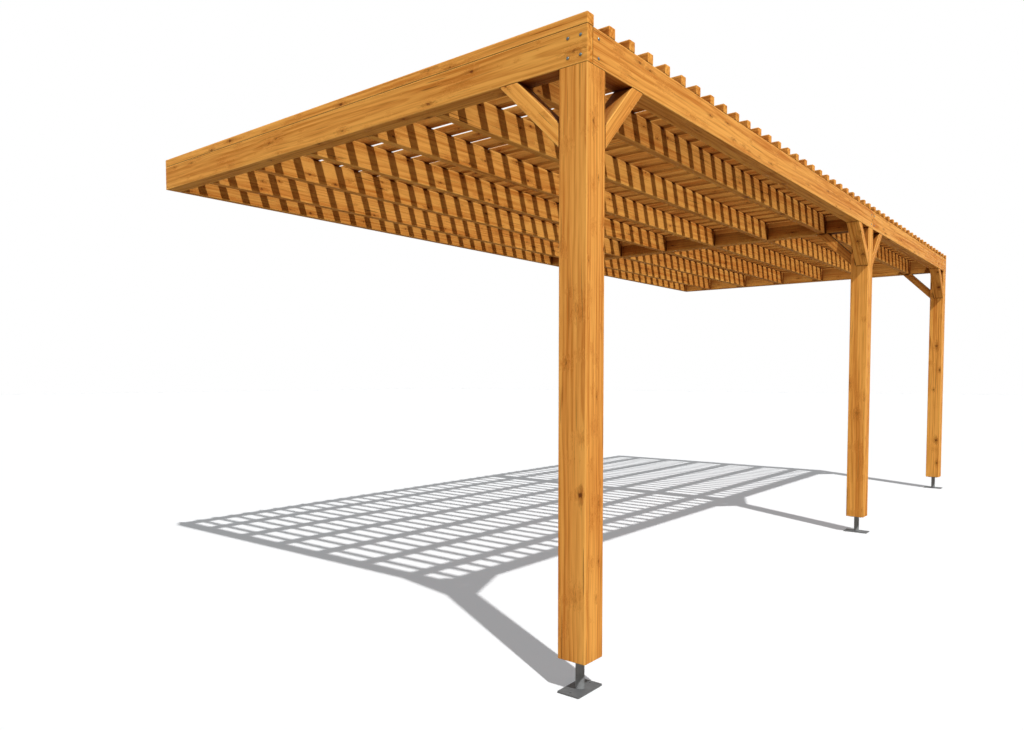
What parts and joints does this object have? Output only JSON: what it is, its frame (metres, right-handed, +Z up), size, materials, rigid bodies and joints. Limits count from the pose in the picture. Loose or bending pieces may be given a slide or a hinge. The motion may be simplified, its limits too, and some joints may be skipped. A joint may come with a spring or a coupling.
{
  "type": "lean-to timber pergola",
  "caption": "Lean-to timber pergola: square posts on steel feet, knee braces, joists and a slatted roof, fixed to a wall along its back.",
  "frame": {"origin": "on the back face of the wall ledger, at mid length of the pergola and at mid height of the beams", "axes": "+X along the wall to the right as seen from the front, +Y into the wall, +Z up"},
  "size_m": [7.322, 3.162, 2.599],
  "materials": {
    "frame_timber": "planed and oiled softwood, satin",
    "slat_timber": "planed and oiled softwood, satin",
    "foot_steel": "dark grey powder coat, matt"
  },
  "bodies": {
    "root": {"post_left": "frame_timber", "post_middle": "frame_timber", "post_right": "frame_timber", "foot_left": "foot_steel", "foot_middle": "foot_steel", "foot_right": "foot_steel", "front_beam_left": "frame_timber", "front_beam_right": "frame_timber", "end_beam_left": "frame_timber", "end_beam_right": "frame_timber", "middle_beam": "frame_timber", "ledger_left": "frame_timber", "ledger_right": "frame_timber", "joist_left_1": "frame_timber", "joist_left_2": "frame_timber", "joist_left_3": "frame_timber", "joist_left_4": "frame_timber", "joist_left_5": "frame_timber", "joist_left_6": "frame_timber", "joist_right_1": "frame_timber", "joist_right_2": "frame_timber", "joist_right_3": "frame_timber", "joist_right_4": "frame_timber", "joist_right_5": "frame_timber", "joist_right_6": "frame_timber", "brace_left_along": "frame_timber", "brace_left_across": "frame_timber", "brace_middle_left": "frame_timber", "brace_middle_right": "frame_timber", "brace_middle_across": "frame_timber", "brace_right_along": "frame_timber", "brace_right_across": "frame_timber", "slats_1": "slat_timber", "slats_2": "slat_timber", "slats_3": "slat_timber", "slats_4": "slat_timber", "slats_5": "slat_timber", "slats_6": "slat_timber"}
  },
  "joints": []
}
